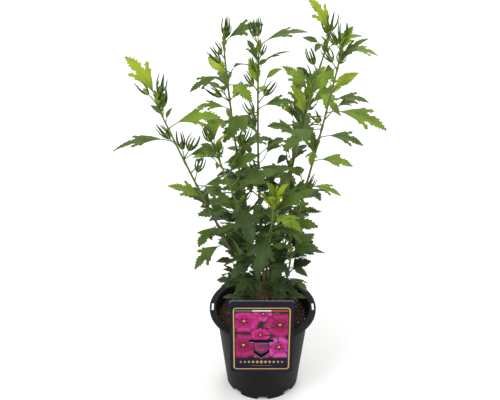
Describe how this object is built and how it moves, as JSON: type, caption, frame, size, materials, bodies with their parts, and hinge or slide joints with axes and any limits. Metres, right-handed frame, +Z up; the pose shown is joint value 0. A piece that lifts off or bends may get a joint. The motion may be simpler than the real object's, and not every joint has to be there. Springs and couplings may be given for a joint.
{
  "type": "potted flowering shrub",
  "caption": "Young many-stemmed rose of sharon shrub in bud, upright and open, in a black round nursery pot with a hang-on plant label.",
  "frame": {"origin": "centre of the pot's flat underside, on the pot's axis", "axes": "+Z up along the pot's axis, -Y towards the front where the label hangs, +X to the right seen from the front"},
  "size_m": [0.4291, 0.3445, 0.7311],
  "materials": {
    "pot": "satin black moulded plastic",
    "soil": "crumbly moist peat with pale specks",
    "label": "satin printed card, dark blue with a pale gold border",
    "bark": "thin ridged grey-brown bark",
    "foliage": "satin green leaves, yellow-green when young"
  },
  "bodies": {
    "root": {"pot": "pot", "soil": "soil", "label": "label", "stool": "bark", "bough_centre": "bark", "bough_right_back": "bark", "bough_back": "bark", "bough_left_back": "bark", "bough_far_left": "bark", "bough_left_front": "bark", "bough_front": "bark", "bough_right_front": "bark", "bough_low_back_left": "bark", "bough_low_back_right": "bark", "bough_low_left": "bark", "bough_low_front": "bark", "bough_low_right": "bark", "foliage_centre": "foliage", "foliage_right_back": "foliage", "foliage_back": "foliage", "foliage_left_back": "foliage", "foliage_far_left": "foliage", "foliage_left_front": "foliage", "foliage_front": "foliage", "foliage_right_front": "foliage", "foliage_low_back_left": "foliage", "foliage_low_back_right": "foliage", "foliage_low_left": "foliage", "foliage_low_front": "foliage", "foliage_low_right": "foliage"}
  },
  "joints": []
}
